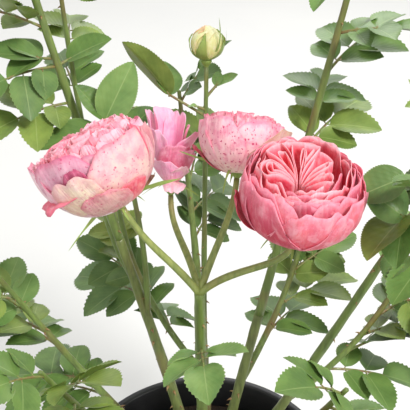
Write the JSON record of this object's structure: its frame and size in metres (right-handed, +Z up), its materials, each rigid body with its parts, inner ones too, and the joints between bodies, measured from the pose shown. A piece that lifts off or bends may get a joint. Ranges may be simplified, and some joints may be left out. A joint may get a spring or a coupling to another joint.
{
  "type": "potted rose bush",
  "caption": "Garden rose bush in a round nursery pot: leafy green canes, full cupped pink blooms on a branching truss and a cream bud.",
  "frame": {"origin": "centre of the pot's flat underside", "axes": "+Z up, +X to the viewer's right, the viewer stands on the -Y side"},
  "size_m": [0.4606, 0.4044, 0.7542],
  "materials": {
    "pot": "matt black moulded plastic, dusty",
    "soil": "coarse moist compost",
    "bark": "smooth green to brown young bark with prickles",
    "foliage": "semi-gloss green leaves, toothed edges",
    "petals": "soft velvety pink petals",
    "bud": "cream yellow petals in green sepals"
  },
  "bodies": {
    "root": {"pot": "pot", "soil": "soil", "stump": "bark", "bough_front": "bark", "bough_left": "bark", "bough_right": "bark", "bough_back_right": "bark", "bough_low_front_left": "bark", "bough_low_front_right": "bark", "bough_low_left": "bark", "bough_back": "bark", "flower_stalk_left": "bark", "flower_stalk_spent": "bark", "flower_stalk_middle": "bark", "flower_stalk_right": "bark", "bloom_left": "petals", "bloom_spent": "petals", "bloom_middle": "petals", "bloom_right": "petals", "bloom_back_left": "petals", "bloom_back_right": "petals", "bud": "bud", "foliage_front": "foliage", "foliage_left": "foliage", "foliage_right": "foliage", "foliage_back_right": "foliage", "foliage_low_front_left": "foliage", "foliage_low_front_right": "foliage", "foliage_low_left": "foliage", "foliage_back": "foliage", "foliage_left_behind": "foliage", "foliage_inner_left": "foliage", "foliage_middle": "foliage", "foliage_back_left": "foliage", "foliage_back_far_right": "foliage", "foliage_low_right": "foliage"}
  },
  "joints": []
}
